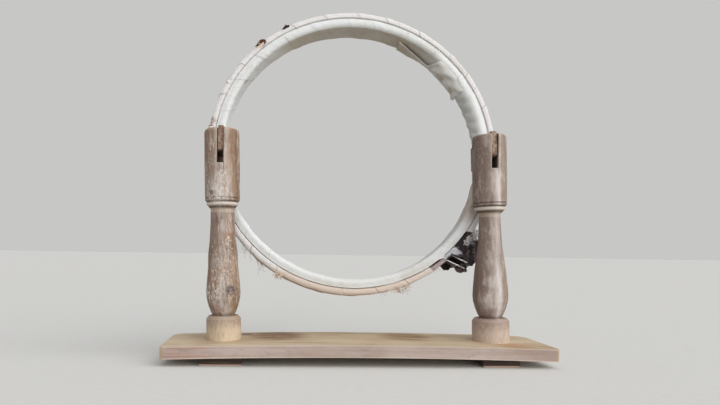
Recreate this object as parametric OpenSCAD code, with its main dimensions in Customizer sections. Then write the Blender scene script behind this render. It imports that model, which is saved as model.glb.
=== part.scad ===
// Table embroidery frame: a cloth-bound double hoop that swings between two turned posts.
// Millimetres, +Z up, the worker sits on the -Y side and +X is to the worker's right.
// Pairs of values are [left, right]: the frame is handmade and its two sides differ a little.

/* [Base board] */
// Length of the board
board_l = 318; // [300:1:330]
// Depth of the board, front to back
board_d = 70; // [64:1:84]
// Thickness of the board
board_t = 10; // [8:0.5:14]
// Rise of the warped board between its ends
board_bow = 2.4; // [1.6:0.2:3]
// Radius of the two back corners
back_corner_r = 10; // [6:1:16]
// Height of the foot cleats under the posts
cleat_h = 7; // [6:0.5:10]
// Depth of a foot cleat, front to back
cleat_d = 58; // [50:1:62]

/* [Posts] */
// Height of a post above the board
post_h = 175.5; // [165:0.5:190]
// Distance of the left post's foot from the middle of the board
left_foot_x = 112.2; // [110:0.1:114]
// Distance of the right post's foot from the middle of the board
right_foot_x = 115.7; // [113:0.1:117]
// Diameter of the left head, the right one is 1 mm less
head_d = 29; // [28:0.5:30]
// Length of the plain head above its bead
head_l = 60.6; // [56:0.2:64]
// Depth of the slot that is sawn into each head
slot_depth = 29.7; // [29:0.1:32]
// Width of the slot
slot_w = 5.4; // [5.2:0.1:6]
// Height of the pivot below the top of the head
pivot_drop = 10; // [9:0.2:10.6]
// Diameter of the pivot pins
pin_d = 3.6; // [3:0.1:4]

/* [Hoop] */
// Distance of the hoop's centre to the left of the board's middle
hoop_shift = 2.4; // [1.5:0.1:3]
// Height of the rings' centre above the line of the pivots
hoop_up = 1.9; // [1:0.1:4]
// Radius of the bare inner ring, inside face
inner_ri = 115; // [113:0.1:117]
// Radial thickness of the bare inner ring
inner_t = 5.8; // [5.2:0.1:6.2]
// Radial thickness of the bare outer ring
outer_t = 3.6; // [3.2:0.1:4.4]
// Width of both bare rings along the hoop's axis
ring_w = 20; // [18:0.5:22]
// Thickness of the wound cloth tape
tape_t = 0.8; // [0.6:0.1:1]
// Turns of tape on the outer ring
outer_turns = 24; // [20:1:24]
// Turns of tape on each half of the inner ring
inner_turns = 12; // [10:1:12]
// Lean of the hoop when it rests against the posts
rest_lean = 7; // [6:0.5:9]

/* [Clamp] */
// Width of the two iron lugs
lug_w = 11; // [9:0.5:12]
// Thickness of the iron
lug_t = 1.6; // [1.2:0.1:1.8]
// Diameter of the clamp screw
screw_d = 4; // [3.5:0.1:4.2]
// Reach of the wing nut's wings from the screw's axis
wing_r = 6.5; // [6:0.1:6.6]

/* [Hidden] */
$fn = 96;
eps = 0.01;
L = 0;
R = 1;

// Colours as seen on the worn wood, cloth and iron
weathered_wood = "#96816f";
board_wood = "#b49c7c";
ring_wood = "#b08d62";
cool_cloth = "#dfe4e2";
warm_cloth = "#e8dcd6";
iron = "#4a4040";
steel = "#8b8a88";

// Hoop sizes, worked out from the inner ring outwards
tape_under = 0.15;
tape_over = 0.45;
inner_ro = inner_ri + inner_t;
ring_play = 0.65;
outer_ri = inner_ro + tape_over + tape_t + ring_play + tape_t + tape_under;
outer_ro = outer_ri + outer_t;
hoop_ro = outer_ro + tape_over + tape_t;
ring_chamfer = 1;

// A tongue lies on a flat seat on the inner ring's inside face and reaches forward into its slot
tongue_t = 4;
tongue_h = 21.4;
tongue_nose = 12;
seat_cut = 0.3;
seat_l = 17;
tongue_x = inner_ri + seat_cut - tongue_t / 2;
pivot_x = [tongue_x + hoop_shift, tongue_x - hoop_shift];

// Board curve: a shallow arch. The posts stand where the maker put them, not quite evenly,
// and each leans so that its slot meets the tongue at the height of the pivot.
board_steps = 24;
pivot_h = post_h - pivot_drop;
foot_x = [left_foot_x, right_foot_x];
splay = [for (side = [L, R]) atan((pivot_x[side] - foot_x[side]) / pivot_h)];
slope = [for (side = [L, R]) atan(8 * board_bow * foot_x[side] / (board_l * board_l))];
end_z = cleat_h - board_bow * (1 - pow(2 * foot_x[R] / board_l, 2));
seat_gap = 0.03;

// Post profile, radii for [left, right] and heights above the board
head_r = [head_d / 2, head_d / 2 - 0.5];
collar_r = [14.4, 15.2];
bulb_r = [14.3, 14.6];
neck_r = [9.8, 8.7];
bead_r = [13.1, 12.6];
collar_h = 17.3;
head_z = post_h - head_l;
bead_h = 3.7;

// Pivot and resting place of the hoop: the front of the hoop leans on the foot of the heads
pivot_z = cleat_h + board_t + pivot_h;
rest_gap = 0.35;
head_drop = pivot_h - head_z;
hoop_w = ring_w + 2 * (tape_under + tape_t);
front_a = (head_r[L] + rest_gap + head_drop * sin(rest_lean)) / cos(rest_lean);
hoop_a = front_a + hoop_w / 2;

// The whole object stands centred on the origin
hoop_back = (hoop_a + hoop_w / 2) * cos(rest_lean) + (hoop_ro + hoop_up) * sin(rest_lean);
post_y = -(hoop_back - board_d / 2) / 2;

// Clamp: angles run clockwise from three o'clock, seen from the front.
// The tape ends first, then the bare wood, and the straps lie let into it and carry the lugs.
tape_ends = [36.5, 54.8];
wood_ends = [46, 50];
bed_ends = [27.4, 63.9];
upper_root = 46.6;
lower_root = 49.4;
lug_dir = 25;
lug_l = 20;
hole_out = 13.5;
strap_r = outer_ro - lug_t;
wire_play = 0.05;

// Cleats: widths and how far each one's middle lies outside its post
cleat_w = [34.4, 30];
cleat_out = [0, -1.9];

// Height of the board's underside at x, and of its top under a post
function under_z(x) = end_z + board_bow * (1 - pow(2 * x / board_l, 2));
function post_z(side) = under_z(foot_x[side]) + board_t;
function out_sign(side) = side == L ? -1 : 1;

// Places the children at a post's foot, leaning outwards
module on_foot(side, lean) {
    s = out_sign(side);
    translate([s * foot_x[side], post_y, post_z(side) + seat_gap]) rotate([0, s * lean, 0]) children();
}

// Along the leaning axis of a post
module on_post(side) {
    on_foot(side, splay[side]) children();
}

// Across a slot: the origin is on the pivot line, +Z points to the right
module on_pivot(side) {
    translate([out_sign(side) * tongue_x - hoop_shift, post_y, pivot_z]) rotate([0, 90, 0]) children();
}

// Places the children in the hoop's frame: pivot line through the origin, +Y is the hoop's axis
module in_hoop() {
    translate([-hoop_shift, post_y, pivot_z]) rotate([-rest_lean, 0, 0]) children();
}

// Ring frame: z runs back along the hoop's axis, angles run clockwise from three o'clock
module in_ring() {
    in_hoop() translate([0, hoop_a, hoop_up]) rotate([-90, 0, 0]) children();
}

module mirrored(side) {
    mirror([side == L ? 1 : 0, 0, 0]) children();
}

// Base board: an arched plank with rounded back corners
module base_board() {
    xs = [for (i = [0:board_steps]) board_l * (i / board_steps - 0.5)];
    profile = concat(
        [for (x = xs) [x, under_z(x)]],
        [for (i = [board_steps:-1:0]) [xs[i], under_z(xs[i]) + board_t]]
    );
    color(board_wood) difference() {
        intersection() {
            translate([0, post_y + board_d / 2, 0]) rotate([90, 0, 0])
                linear_extrude(board_d) polygon(profile);
            translate([0, post_y, -1]) linear_extrude(cleat_h + board_t + 2 * board_bow)
                board_plan();
        }
        for (side = [L, R]) {
            on_post(side) post_screw_bore(side);
            cleat_nail_places(side) cylinder(h = nail_l + 1, d = nail_d + 0.1);
        }
    }
}

module board_plan() {
    r = back_corner_r;
    front_r = 3;
    x = board_l / 2;
    y = board_d / 2;
    union() {
        translate([-x + r, -y + front_r]) square([board_l - 2 * r, board_d - front_r]);
        translate([-x, -y + front_r]) square([board_l, board_d - front_r - r]);
        translate([-x + front_r, -y]) square([board_l - 2 * front_r, front_r + eps]);
        for (s = [-1, 1]) {
            translate([s * (x - r), y - r]) circle(r);
            translate([s * (x - front_r), -y + front_r]) circle(front_r);
        }
    }
}

// Foot cleats: blocks scribed to the board above and planed flat below
nail_d = 2;
nail_l = 13;
nail_y = 21;

module foot_cleat(side) {
    mid = foot_x[side] + cleat_out[side];
    x0 = mid - cleat_w[side] / 2;
    steps = 4;
    ease = 1.2;
    top = [for (i = [steps:-1:0]) let (x = x0 + cleat_w[side] * i / steps) [x, under_z(x) - seat_gap]];
    outline = concat(
        [[x0, ease], [x0 + ease, 0], [x0 + cleat_w[side] - ease, 0], [x0 + cleat_w[side], ease]],
        top
    );
    color(board_wood) difference() {
        translate([0, post_y + cleat_d / 2, 0]) rotate([90, 0, 0]) mirrored(side)
            linear_extrude(cleat_d) polygon(outline);
        on_post(side) post_screw_bore(side);
        cleat_nail_places(side) {
            translate([0, 0, -1]) cylinder(h = cleat_h + 2, d = nail_d + 0.1);
            translate([0, 0, -eps]) cylinder(h = 1.3, r1 = 2.35, r2 = nail_d / 2 + 0.05);
        }
    }
}

module cleat_nail_places(side) {
    for (y = [-nail_y, nail_y])
        translate([out_sign(side) * (foot_x[side] + cleat_out[side]), post_y + y, 0]) children();
}

module cleat_nails(side) {
    color(iron) cleat_nail_places(side) translate([0, 0, 0.1]) rotate_extrude()
        polygon([[0, 0], [2.1, 0], [nail_d / 2, 1.1], [nail_d / 2, nail_l - 2], [0, nail_l]]);
}

// Post screw: a countersunk wood screw from below, through cleat and board into the post
wood_screw_d = 4;
wood_screw_l = 42;
screw_head_d = 8;

module post_screw_bore(side) {
    below = post_z(side) + seat_gap;
    translate([0, 0, -below - 1]) cylinder(h = below + 3, d = wood_screw_d + 0.3);
    translate([0, 0, -below - 0.6]) cylinder(h = 3.2, r1 = screw_head_d / 2 + 1, r2 = wood_screw_d / 2);
}

module post_screw(side) {
    color(steel) on_post(side) translate([0, 0, -post_z(side) + 0.35]) difference() {
        rotate_extrude() polygon([
            [0, 0], [screw_head_d / 2, 0], [wood_screw_d / 2, 2.2],
            [wood_screw_d / 2, wood_screw_l - 8], [0, wood_screw_l]
        ]);
        translate([-screw_head_d, -0.5, -1]) cube([2 * screw_head_d, 1, 1.9]);
    }
}

// Turned posts: collar, swelling baluster, bead and slotted head in one profile.
// The foot is turned a little long, and then scribed to the slope of the board.
foot_allow = 1.5;

function swell(side) = let (n = neck_r[side], b = bulb_r[side]) [
    [9.3, 21.1], [10.6, 23], [12.9, 29.4], [b - 0.35, 34.5], [b, 39.4], [b - 0.3, 45],
    [b - 1.8, 60.7], [n + 2.6, 71], [n + 1.3, 81.9], [n + 0.45, 95], [n, 108.5]
];

function post_profile(side) = let (c = collar_r[side], h = head_r[side], bd = bead_r[side]) concat(
    [
        [0, -foot_allow], [c, -foot_allow], [c + 0.15, 8], [c, collar_h],
        [c - 1.8, collar_h + 2.4], [10.2, collar_h + 3.2]
    ],
    swell(side),
    [
        [bd - 1.2, head_z - bead_h], [bd, head_z - bead_h + 1], [bd, head_z - 1],
        [bd - 0.9, head_z - 0.2], [h - 1.1, head_z], [h - 0.2, head_z + 1], [h, head_z + 2.2],
        [h - 0.5, head_z + 2.9], [h, head_z + 3.6], [h + 0.15, head_z + 30],
        [h, post_h - 3.4], [h - 0.5, post_h - 1.6], [h - 1.9, post_h - 0.5], [0, post_h]
    ]
);

module post(side) {
    color(weathered_wood) difference() {
        on_post(side) difference() {
            rotate_extrude() polygon(post_profile(side));
            translate([0, 0, -4]) cylinder(h = wood_screw_l - 11, d = wood_screw_d + 0.1);
            translate([0, 0, wood_screw_l - 15 - eps])
                cylinder(h = 9, r1 = wood_screw_d / 2 + 0.05, r2 = 0.3);
        }
        on_foot(side, slope[side]) translate([-25, -25, -20]) cube([50, 50, 20]);
        on_pivot(side) {
            cylinder(h = 60, d = pin_d, center = true);
            translate([-pivot_drop - 5, -25, -slot_w / 2])
                cube([slot_depth + 5, 50, slot_w]);
        }
    }
}

// Pivot pins: plain wire pins across the slots, flush with the sides of the heads
module pivot_pin(side) {
    length = 2 * head_r[side] - 1.2;
    color(steel) on_pivot(side) rotate_extrude() polygon([
        [0, -length / 2], [pin_d / 2 - 0.4, -length / 2], [pin_d / 2, -length / 2 + 0.4],
        [pin_d / 2, length / 2 - 0.4], [pin_d / 2 - 0.4, length / 2], [0, length / 2]
    ]);
}

// Tongues: flat wooden arms fixed to the inner ring, with a rounded nose in the slot
tongue_nail_d = 1.6;
tongue_nail_l = 8.6;
tongue_end = hoop_a - ring_w / 2 + seat_l;

module tongue_outline() {
    r = 2.5;
    back = tongue_end;
    h = tongue_h / 2;
    difference() {
        union() {
            translate([-tongue_nose + r, -h]) square([back + tongue_nose - r, tongue_h]);
            translate([-tongue_nose, -h + r]) square([r + eps, tongue_h - 2 * r]);
            for (y = [-h + r, h - r]) translate([-tongue_nose + r, y]) circle(r);
        }
        translate([front_a - 3, -h - 17.4]) circle(19);
        translate([front_a - 3, h + 17.4]) circle(19);
    }
}

module tongue(side) {
    color(weathered_wood) in_hoop() mirrored(side) difference() {
        translate([tongue_x - tongue_t / 2, 0, 0]) rotate([90, 0, 90])
            linear_extrude(tongue_t) tongue_outline();
        translate([tongue_x, 0, 0]) rotate([0, 90, 0])
            cylinder(h = 20, d = pin_d + 2 * wire_play, center = true);
        tongue_nail_places() cylinder(h = 30, d = tongue_nail_d + 0.1, center = true);
    }
}

// Nails through the tongue into the ring, one above the other and a little apart in depth
module tongue_nail_places() {
    for (s = [-1, 1])
        translate([tongue_x - tongue_t / 2, hoop_a - 2.5 + 4 * s, 5.5 * s]) rotate([0, 90, 0]) children();
}

module tongue_nails(side) {
    color(iron) in_hoop() mirrored(side) tongue_nail_places() rotate_extrude() polygon([
        [0, -0.7], [1.5, -0.7], [1.8, -0.4], [1.8, -0.02], [tongue_nail_d / 2, -0.02],
        [tongue_nail_d / 2, tongue_nail_l - 2], [0, tongue_nail_l]
    ]);
}

// Wooden rings: a band of flat section with eased edges
module ring_section(ri, thick, edge) {
    w = ring_w / 2;
    polygon([
        [ri + edge, -w], [ri + thick - edge, -w], [ri + thick, -w + edge], [ri + thick, w - edge],
        [ri + thick - edge, w], [ri + edge, w], [ri, w - edge], [ri, -w + edge]
    ]);
}

module inner_ring() {
    color(ring_wood) difference() {
        in_ring() rotate_extrude($fn = 180) ring_section(inner_ri, inner_t, ring_chamfer);
        in_hoop() for (side = [L, R]) mirrored(side) {
            translate([0, hoop_a - ring_w / 2 - 1, -tongue_h / 2 - 0.1])
                cube([tongue_x + tongue_t / 2 + 0.02, seat_l + 1.1, tongue_h + 0.2]);
            tongue_nail_places() cylinder(h = 9, d = tongue_nail_d + 0.1);
        }
    }
}

// The outer ring is split at the lower right, where straps of the clamp lie let into its face
module outer_ring() {
    color(ring_wood) in_ring() difference() {
        rotate([0, 0, wood_ends[1]])
            rotate_extrude(angle = 360 - (wood_ends[1] - wood_ends[0]), $fn = 180)
                ring_section(outer_ri, outer_t, ring_chamfer * 0.8);
        for (end = [0, 1]) rotate([0, 0, min(bed_ends[end], wood_ends[end]) - 0.3])
            rotate_extrude(angle = abs(bed_ends[end] - wood_ends[end]) + 0.6, $fn = 180)
                translate([strap_r - 0.02, -lug_w / 2 - 0.1]) square([lug_t + 1, lug_w + 0.2]);
        rivet_places() cylinder(h = 12, d = rivet_d + 0.1, center = true);
    }
}

// Wound tape: one unbroken strip that goes round the band, [a, b] is axial and radial place
function band_point(deg, dist, half_a, half_b) = let (
    k = ring_chamfer,
    reach = (k + dist) / cos(22.5),
    sa = cos(deg) > 0 ? 1 : -1,
    sb = sin(deg) > 0 ? 1 : -1
) [sa * (half_a - k) + reach * cos(deg), sb * (half_b - k) + reach * sin(deg)];

// Ten stations go once round the band: two at each corner and one on each broad face
station_deg = [22.5, 67.5, 90, 112.5, 157.5, 202.5, 247.5, 270, 292.5, 337.5];

function station(i, under, over, half_a, half_b) = let (
    deg = station_deg[i % 10],
    dist = sin(deg) > 0.5 ? over : under
) abs(cos(deg)) < eps
    ? [0, (half_b + dist) * sign(sin(deg))]
    : band_point(deg, dist, half_a, half_b);

// Share of a turn that is done at each station, by the way round the band
function turn_share(i, half_a, half_b) = let (
    broad = half_a / (4 * (half_a + half_b)),
    narrow = half_b / (2 * (half_a + half_b)),
    marks = [0, 0.01, broad, 2 * broad - 0.01, 2 * broad, 2 * broad + narrow,
        2 * broad + narrow + 0.01, 3 * broad + narrow, 4 * broad + narrow - 0.01, 4 * broad + narrow]
) floor(i / 10) + marks[i % 10];

function ring_xyz(r, deg, z) = [r * cos(deg), r * sin(deg), z];

module wound_tape(ri, thick, from, to, turns) {
    half_a = ring_w / 2;
    half_b = thick / 2;
    mid_r = ri + half_b;
    gap = 0.55 / (ri - 1) * 180 / PI;
    pitch = (to - from + gap) / (turns + 0.97);
    half = (pitch - gap) / 2;
    last = 10 * turns - 1;
    rings = [for (i = [0:last]) let (
        deg = from + half + pitch * turn_share(i, half_a, half_b),
        low = station(i, tape_under, tape_over, half_a, half_b),
        high = station(i, tape_under + tape_t, tape_over + tape_t, half_a, half_b)
    ) [
        ring_xyz(mid_r + high[1], deg - half, high[0]),
        ring_xyz(mid_r + high[1], deg, high[0]),
        ring_xyz(mid_r + high[1], deg + half, high[0]),
        ring_xyz(mid_r + low[1], deg + half, low[0]),
        ring_xyz(mid_r + low[1], deg, low[0]),
        ring_xyz(mid_r + low[1], deg - half, low[0])
    ]];
    echo(least_gap = min([for (i = [0:last - 10]) norm(rings[i + 10][5] - rings[i][3])]));
    faces = concat(
        [for (t = [0:3]) [0, t + 1, t + 2]],
        [for (t = [0:3]) [6 * last, 6 * last + t + 2, 6 * last + t + 1]],
        [for (i = [0:last - 1]) for (k = [0:5]) let (m = (k + 1) % 6)
            [6 * i + k, 6 * i + 6 + k, 6 * i + 6 + m]],
        [for (i = [0:last - 1]) for (k = [0:5]) let (m = (k + 1) % 6)
            [6 * i + k, 6 * i + 6 + m, 6 * i + m]]
    );
    polyhedron([for (q = rings) for (p = q) p], faces);
}

// The tape stops short of the tongues and of the outer ring's bare ends
function tongue_clear(up) = asin((tongue_h / 2 + 0.6 - up) / (inner_ri - 3));

module inner_ring_tape(upper) {
    start = upper ? 180 : 0;
    clear = tongue_clear(upper ? hoop_up : -hoop_up);
    color(cool_cloth) in_ring()
        wound_tape(inner_ri, inner_t, start + clear, start + 180 - clear, inner_turns);
}

module outer_ring_tape() {
    color(warm_cloth) in_ring()
        wound_tape(outer_ri, outer_t, tape_ends[1] + 0.3, 360 + tape_ends[0] - 0.3, outer_turns);
}

// Loose end of the cloth: a rumpled strip that hangs off the inside face at the upper right
flap_from = -66;
flap_to = -34;
flap_drop = 4.5;
flap_t = 0.6;
flap_steps = 32;
flap_rows = 5;

function flap_point(i, j, lift) = let (
    u = i / flap_steps,
    v = j / flap_rows,
    deg = flap_from + (flap_to - flap_from) * u,
    fall = flap_drop * v * pow(sin(180 * (0.06 + 0.88 * u)), 0.6),
    wave = 1.6 * v * sin(360 * 3 * u + 40) + 0.8 * v * sin(360 * 5 * u),
    r = inner_ri - tape_under - tape_t - 0.7 - fall + lift * 0.6
) ring_xyz(r, deg, ring_w / 2 - 7 * (1 - v) + wave + lift * 0.8);

module loose_cloth_end() {
    cols = flap_rows + 1;
    count = (flap_steps + 1) * cols;
    points = [for (lift = [0, flap_t]) for (i = [0:flap_steps]) for (j = [0:flap_rows])
        flap_point(i, j, lift)];
    function at(i, j, side) = side * count + i * cols + j;
    sheet = [for (i = [0:flap_steps - 1]) for (j = [0:flap_rows - 1]) for (tri = [
        [at(i, j, 0), at(i + 1, j, 0), at(i + 1, j + 1, 0)],
        [at(i, j, 0), at(i + 1, j + 1, 0), at(i, j + 1, 0)],
        [at(i, j, 1), at(i + 1, j + 1, 1), at(i + 1, j, 1)],
        [at(i, j, 1), at(i, j + 1, 1), at(i + 1, j + 1, 1)]
    ]) tri];
    ends = [for (j = [0:flap_rows - 1]) for (tri = [
        [at(0, j, 0), at(0, j + 1, 0), at(0, j + 1, 1)],
        [at(0, j, 0), at(0, j + 1, 1), at(0, j, 1)],
        [at(flap_steps, j, 0), at(flap_steps, j + 1, 1), at(flap_steps, j + 1, 0)],
        [at(flap_steps, j, 0), at(flap_steps, j, 1), at(flap_steps, j + 1, 1)]
    ]) tri];
    rims = [for (i = [0:flap_steps - 1]) for (tri = [
        [at(i, 0, 0), at(i, 0, 1), at(i + 1, 0, 1)],
        [at(i, 0, 0), at(i + 1, 0, 1), at(i + 1, 0, 0)],
        [at(i, flap_rows, 0), at(i + 1, flap_rows, 1), at(i, flap_rows, 1)],
        [at(i, flap_rows, 0), at(i + 1, flap_rows, 0), at(i + 1, flap_rows, 1)]
    ]) tri];
    color(cool_cloth) in_ring() polyhedron(points, concat(sheet, ends, rims));
}

// Clamp lugs: iron straps let into the ring's face and folded outwards
rivet_d = 2.4;

module lug_blade(root, out) {
    length = out + lug_l - hole_out;
    fold = 0.28 * lug_t;
    rotate([0, 0, root]) translate([strap_r + lug_t / 2, 0, 0]) rotate([0, 0, lug_dir - root])
        difference() {
            union() {
                translate([-fold, -lug_t / 2, -lug_w / 2])
                    cube([fold + length - lug_w / 2, lug_t, lug_w]);
                translate([length - lug_w / 2, 0, 0]) rotate([90, 0, 0])
                    cylinder(h = lug_t, d = lug_w, center = true);
            }
            translate([out, 0, 0]) rotate([90, 0, 0])
                cylinder(h = 10, d = screw_d + 0.3, center = true);
        }
}

module clamp_lug(root, bed_end, out) {
    color(iron) in_ring() difference() {
        union() {
            rotate([0, 0, min(root, bed_end)]) rotate_extrude(angle = abs(root - bed_end), $fn = 180)
                translate([strap_r, -lug_w / 2]) square([lug_t, lug_w]);
            lug_blade(root, out);
        }
        rivet_places() cylinder(h = 12, d = rivet_d + 0.1, center = true);
    }
}

// Two rivets hold each strap, one under the tape and one near the bare end
module rivet_places() {
    for (a = [42.8, 32.5, 52.6, 60.2])
        rotate([0, 0, a]) translate([(outer_ri + outer_ro) / 2, 0, 0]) rotate([0, 90, 0]) children();
}

module lug_rivets() {
    color(steel) in_ring() rivet_places() cylinder(h = outer_t - 0.3, d = rivet_d, center = true);
}

// Screw frame: the origin is the middle of the lower lug at its hole, +Z points up the screw
strap_pitch = 2 * (strap_r + lug_t / 2) * sin((lower_root - upper_root) / 2);
lug_gap = strap_pitch * cos((upper_root + lower_root) / 2 - lug_dir);
lug_slip = strap_pitch * sin((upper_root + lower_root) / 2 - lug_dir);

module on_screw() {
    in_ring() rotate([0, 0, upper_root]) translate([strap_r + lug_t / 2, 0, 0])
        rotate([0, 0, lug_dir - upper_root]) translate([hole_out, lug_gap, 0])
            rotate([90, 0, 0]) children();
}

washer_t = 0.8;
washer_z = lug_gap + lug_t / 2 + 0.05;
nut_h = 5;
nut_travel = 4;
screw_end = washer_z + washer_t + nut_h + nut_travel + 2;

module clamp_screw() {
    head_h = 3;
    color(iron) on_screw() rotate_extrude() polygon([
        [0, -lug_t / 2 - 0.05 - head_h], [1.8, -lug_t / 2 - 0.05 - head_h],
        [3.4, -lug_t / 2 - 0.05 - head_h + 0.8], [4.2, -lug_t / 2 - 0.05 - head_h + 2],
        [4.2, -lug_t / 2 - 0.05], [screw_d / 2, -lug_t / 2 - 0.05],
        [screw_d / 2, screw_end - 0.6], [screw_d / 2 - 0.6, screw_end], [0, screw_end]
    ]);
}

module clamp_washer() {
    color(steel) on_screw() translate([0, 0, washer_z]) difference() {
        cylinder(h = washer_t, d = 9);
        translate([0, 0, -1]) cylinder(h = 3, d = screw_d + 2 * wire_play);
    }
}

// Wing nut: a tapered hub with two small rounded ears, along the lugs when it is tight
module wing_nut() {
    wing_t = 1.6;
    ear_r = 2.9;
    color(iron) on_screw() translate([0, 0, washer_z + washer_t + 0.05]) difference() {
        union() {
            rotate_extrude() polygon([[0, 0], [3.9, 0], [3.9, 1.2], [3.1, nut_h], [0, nut_h]]);
            for (s = [-1, 1]) {
                translate([s * (wing_r - ear_r), 0, 5]) rotate([90, 0, 0])
                    cylinder(h = wing_t, r = ear_r, center = true);
                translate([s > 0 ? 2 : -wing_r + 1.2, -wing_t / 2, 0.8])
                    cube([wing_r - 3.2, wing_t, nut_h - 1.4]);
            }
        }
        translate([0, 0, -1]) cylinder(h = 20, d = screw_d + 2 * wire_play);
    }
}

base_board();
foot_cleat(L);  // left_foot_cleat
foot_cleat(R);  // right_foot_cleat
cleat_nails(L);  // left_cleat_nails
cleat_nails(R);  // right_cleat_nails
post(L);  // left_post
post(R);  // right_post
post_screw(L);  // left_post_screw
post_screw(R);  // right_post_screw
pivot_pin(L);  // left_pivot_pin
pivot_pin(R);  // right_pivot_pin
tongue(L);  // left_tongue
tongue(R);  // right_tongue
tongue_nails(L);  // left_tongue_nails
tongue_nails(R);  // right_tongue_nails
inner_ring();
inner_ring_tape(true);  // inner_ring_upper_tape
inner_ring_tape(false);  // inner_ring_lower_tape
loose_cloth_end();
outer_ring();
outer_ring_tape();
clamp_lug(upper_root, bed_ends[0], hole_out);  // upper_clamp_lug
clamp_lug(lower_root, bed_ends[1], hole_out + lug_slip);  // lower_clamp_lug
lug_rivets();
clamp_screw();
clamp_washer();
wing_nut();
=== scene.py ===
# %% [markdown]
# # A table embroidery frame, dressed over its CAD frame
# The real thing is a plank on two low cleats, two turned posts with sawn heads, and a double
# wooden hoop bound with cotton tape that swings on two flat tongues. The exact solids come from
# the CAD frame. Blender adds what a hand would feel: greyed wood, rust, and cloth wound turn by
# turn.

# %% Load the frame
import math
import random

import bpy
from mathutils import Matrix, Vector, noise


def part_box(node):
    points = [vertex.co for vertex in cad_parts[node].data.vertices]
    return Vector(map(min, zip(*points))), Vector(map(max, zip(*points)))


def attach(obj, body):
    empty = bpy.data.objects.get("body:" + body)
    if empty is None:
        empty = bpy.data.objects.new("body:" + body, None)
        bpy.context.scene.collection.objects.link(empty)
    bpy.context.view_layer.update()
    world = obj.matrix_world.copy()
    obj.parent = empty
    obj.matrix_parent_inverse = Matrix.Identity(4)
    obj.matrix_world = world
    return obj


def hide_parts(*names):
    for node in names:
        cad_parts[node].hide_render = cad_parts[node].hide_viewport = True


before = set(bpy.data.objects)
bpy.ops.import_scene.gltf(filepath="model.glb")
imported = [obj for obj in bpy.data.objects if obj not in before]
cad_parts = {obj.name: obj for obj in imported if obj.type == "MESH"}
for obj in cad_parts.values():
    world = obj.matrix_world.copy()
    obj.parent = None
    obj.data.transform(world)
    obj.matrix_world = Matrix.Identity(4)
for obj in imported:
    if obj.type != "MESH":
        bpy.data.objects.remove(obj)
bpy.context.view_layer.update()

# %% [markdown]
# ## The numbers that the frame was built from
# A piece made here has to sit exactly where its CAD twin sits. The two pivot pins say where the
# hoop swings, so their boxes are read from the frame, and the few sizes that a box can't give are
# written down once, in metres. The hoop leans back by 7 degrees about the pins. A matrix keeps
# that place: it turns "ring coordinates" into the room's.

# %% Sizes and places
pivots = {side: sum(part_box(side + "_pivot_pin"), Vector()) / 2 for side in ("left", "right")}
hoop_middle = (pivots["left"] + pivots["right"]) / 2
POST_Y = hoop_middle.y

BOARD_TOP = 0.017
POST_HEIGHT = 0.1755
PIVOT_HEIGHT = 0.1655
HEAD_FOOT = 0.1149
FEET = {"left": -0.1122, "right": 0.1157}
leans = {side: math.atan((pivots[side].x - FEET[side]) / PIVOT_HEIGHT) for side in FEET}

HOOP_LEAN = math.radians(7)
HOOP_BACK = 0.0321
HOOP_UP = 0.0019
RING_HALF_WIDTH = 0.010
INNER_RING = {"middle": 0.1179, "half": 0.0029, "between": 1, "puff": 0.0011}
OUTER_RING = {"middle": 0.12545, "half": 0.0018, "between": -1, "puff": 0.0006}

hoop_place = (
    Matrix.Translation(hoop_middle)
    @ Matrix.Rotation(-HOOP_LEAN, 4, "X")
    @ Matrix.Translation((0, HOOP_BACK, HOOP_UP))
    @ Matrix.Rotation(math.radians(-90), 4, "X")
)


def on_ring(degrees, radius, back):
    """A point of the hoop. Degrees run clockwise from three o'clock as the worker sees it,
    and back is the distance behind the middle of the rings."""
    angle = math.radians(degrees)
    return hoop_place @ Vector((radius * math.cos(angle), radius * math.sin(angle), back))


print("hoop centre:", [round(v, 4) for v in hoop_place.translation])
print("posts lean by", {side: round(math.degrees(lean), 2) for side, lean in leans.items()})

# %% [markdown]
# ## Camera
# The photograph was taken from low in front, a little left of the middle, with a fairly wide
# lens. The place was found by matching the board's edges, the posts and both hoops. The picture
# is a crop of a larger one, which is what the small lens shift stands for.

# %% Camera
bpy.ops.object.select_all(action="DESELECT")
bpy.ops.object.camera_add(
    location=(-0.0666, -0.4762, 0.0917),
    rotation=[math.radians(angle) for angle in (88.823, -0.810, -2.162)],
)
camera = bpy.context.object
camera.name = "front_camera"
camera.data.sensor_width = 36
camera.data.lens = 27.51
camera.data.shift_x = 0.0833
camera.data.shift_y = 0.0833
camera.data.clip_start = 0.02
bpy.context.scene.camera = camera
print("camera stands", round(-camera.location.y, 3), "m in front")

# %% [markdown]
# ## Light
# Soft daylight falls from a large window in front, above and to the right, so the left side of
# each post is dark and the underside of the hoop is in shade. A sun with a very wide angle acts
# like such a window: it lights the object evenly wherever it is, and wraps round the cloth's
# edges. The sky fills the rest. On a surface that faces the worker both come to a little under
# 1, so a colour renders about as it is written, and white cloth doesn't burn out.

# %% Sun and sky
SUN_STRENGTH = 3.35
SKY_STRENGTH = 0.36
sun_direction = Vector((0.58, -0.74, 0.34)).normalized()

bpy.ops.object.light_add(type="SUN", location=(1.0, -1.2, 1.2))
sun = bpy.context.object
sun.name = "window_light"
sun.data.energy = SUN_STRENGTH
sun.data.angle = math.radians(100)
sun.data.color = (1.0, 0.99, 0.975)
sun.rotation_euler = sun_direction.to_track_quat("Z", "Y").to_euler()

bpy.context.scene.view_settings.view_transform = "Standard"
floor_light = SUN_STRENGTH * sun_direction.z / math.pi + SKY_STRENGTH
print("light on the floor:", round(floor_light, 3))


# %% [markdown]
# ## A short way to write a material
# Every finish below is a small graph of noise, ramps and mixes over Object coordinates, so that
# the pattern stays in the wood when the camera moves. The helper keeps the graph readable: each
# method adds one node and gives back its output.

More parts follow.
